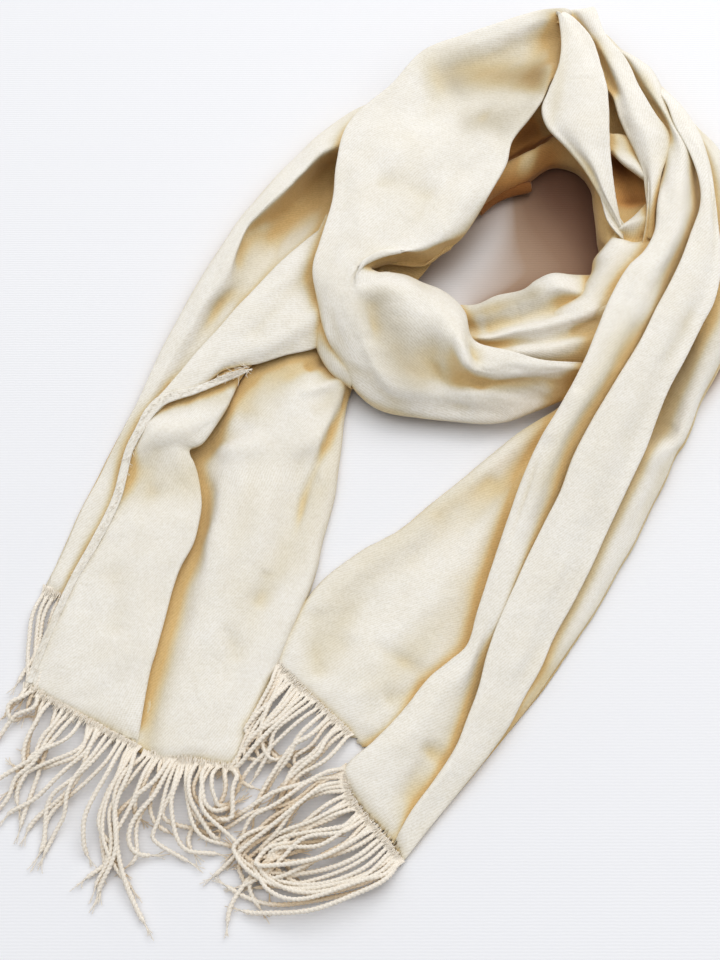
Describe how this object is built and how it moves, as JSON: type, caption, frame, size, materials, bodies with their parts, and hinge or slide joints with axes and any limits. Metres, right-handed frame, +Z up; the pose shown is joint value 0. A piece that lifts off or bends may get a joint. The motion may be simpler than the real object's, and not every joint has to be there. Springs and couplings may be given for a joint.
{
  "type": "pashmina shawl",
  "caption": "Cream twill pashmina shawl laid flat in a loose neck loop: a wide front drape, a folded ring round an open neck hole, and two tails with twisted fringes.",
  "frame": {"origin": "middle of the laid shawl's outline, on the surface that it lies on", "axes": "+Z up from the surface, +Y from the fringed ends towards the top of the neck loop, +X to the right seen from above"},
  "size_m": [0.5302, 0.719, 0.0602],
  "materials": {
    "cream_twill": "soft matt fine twill with a light nap",
    "ivory_strands": "matt twisted yarn"
  },
  "bodies": {
    "root": {"left_tail_back": "cream_twill", "left_tail_shoulder": "cream_twill", "left_tail_front": "cream_twill", "left_tail_side": "cream_twill", "loop_under": "cream_twill", "loop_inner": "cream_twill", "loop_bottom": "cream_twill", "lower_roll": "cream_twill", "front_drape": "cream_twill", "top_twist": "cream_twill", "inner_turn": "cream_twill", "right_fold_inner": "cream_twill", "right_fold_middle": "cream_twill", "right_fold_outer": "cream_twill", "right_tail_front": "cream_twill", "right_tail_middle": "cream_twill", "right_tail_outer": "cream_twill", "right_tail_lower": "cream_twill", "left_fringe_back": "ivory_strands", "left_fringe_front": "ivory_strands", "left_fringe_side": "ivory_strands", "right_fringe_lower": "ivory_strands", "right_fringe_front": "ivory_strands"}
  },
  "joints": []
}
